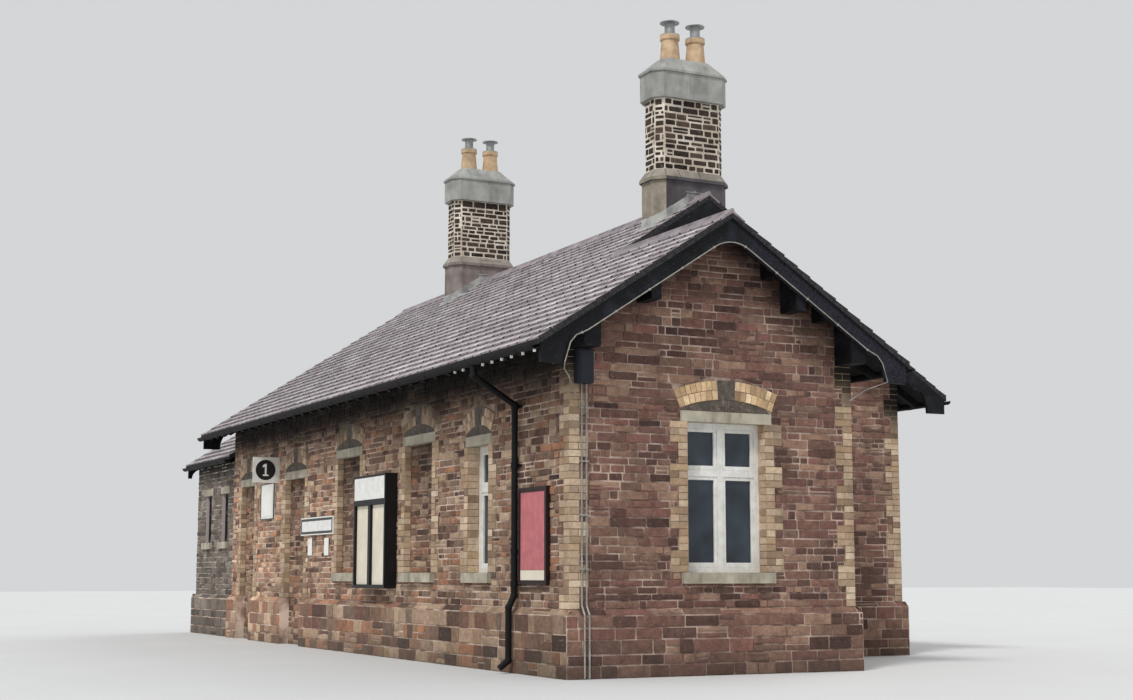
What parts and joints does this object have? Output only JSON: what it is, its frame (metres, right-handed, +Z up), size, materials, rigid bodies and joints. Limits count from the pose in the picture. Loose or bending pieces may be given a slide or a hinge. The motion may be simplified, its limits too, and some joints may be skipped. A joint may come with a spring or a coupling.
{
  "type": "railway station building",
  "caption": "Single-storey stone station building with slate gabled roofs, brick dressings, black bargeboards and tall capped chimney stacks.",
  "frame": {"origin": "middle of the building's outline, eaves and verges included, at ground level", "axes": "+X along the building towards the lower near gable, -Y towards the platform, +Z up"},
  "size_m": [17.57, 8.0866, 8.8868],
  "materials": {
    "black_case": "black case with cream panels",
    "black_wood": "black paint",
    "box_paint": "dark blue enamel",
    "chimney_cap": "grey render",
    "chimney_stone": "weathered grey stone",
    "clay": "buff fired clay",
    "cowl": "dull galvanised sheet",
    "door_paint": "dark gloss paint",
    "dressed_stone": "weathered dressed stone",
    "floor": "flagged floor",
    "gable_stone": "coursed purple-brown stone",
    "glass": "clear window glass",
    "grey_stone": "grey-brown rubble",
    "iron": "black paint",
    "red_board": "red board in a dark frame",
    "ridge_tile": "grey ridge tile",
    "shaft_stone": "dark coursed stone with pale mortar",
    "sign_plate": "painted sheet",
    "slate": "weathered slate",
    "wall_stone": "coursed squared rubble with pale mortar",
    "white_paint": "white gloss paint",
    "yellow_brick": "weathered yellow brick"
  },
  "bodies": {
    "root": {"floor_slab": "floor", "platform_wall": "wall_stone", "near_gable_wall": "gable_stone", "near_rear_wall": "wall_stone", "main_near_gable_wall": "gable_stone", "main_far_gable_wall": "wall_stone", "main_rear_wall": "wall_stone", "far_platform_wall": "grey_stone", "far_end_wall": "grey_stone", "far_rear_wall": "grey_stone", "platform_plinth": "wall_stone", "near_gable_plinth": "gable_stone", "rear_plinth": "wall_stone", "blocked_windows": "wall_stone", "blocked_doorways": "wall_stone", "corner_quoins": "yellow_brick", "opening_quoins": "yellow_brick", "brick_arches": "yellow_brick", "arch_keystones": "dressed_stone", "lintels": "dressed_stone", "sills": "dressed_stone", "gable_window_frame": "white_paint", "platform_window_frame": "white_paint", "far_window_frames": "white_paint", "rear_window_frames": "white_paint", "window_glass": "glass", "rear_door": "door_paint", "rear_door_frame": "white_paint", "main_platform_slope": "slate", "main_rear_slope": "slate", "near_platform_slope": "slate", "near_rear_slope": "slate", "far_roof_slopes": "slate", "ridge_tiles": "ridge_tile", "near_bargeboards": "black_wood", "main_bargeboards": "black_wood", "far_bargeboards": "black_wood", "purlin_ends": "black_wood", "rafter_feet": "black_wood", "gutters": "iron", "downpipes": "iron", "near_chimney_base": "chimney_stone", "near_chimney_shaft": "shaft_stone", "near_chimney_cap": "chimney_cap", "far_chimney_base": "chimney_stone", "far_chimney_shaft": "shaft_stone", "far_chimney_cap": "chimney_cap", "chimney_breasts": "wall_stone", "chimney_pots": "clay", "chimney_cowls": "cowl", "poster_frame": "red_board", "notice_board": "black_case", "wall_plates": "sign_plate", "wall_box": "box_paint"}
  },
  "joints": []
}
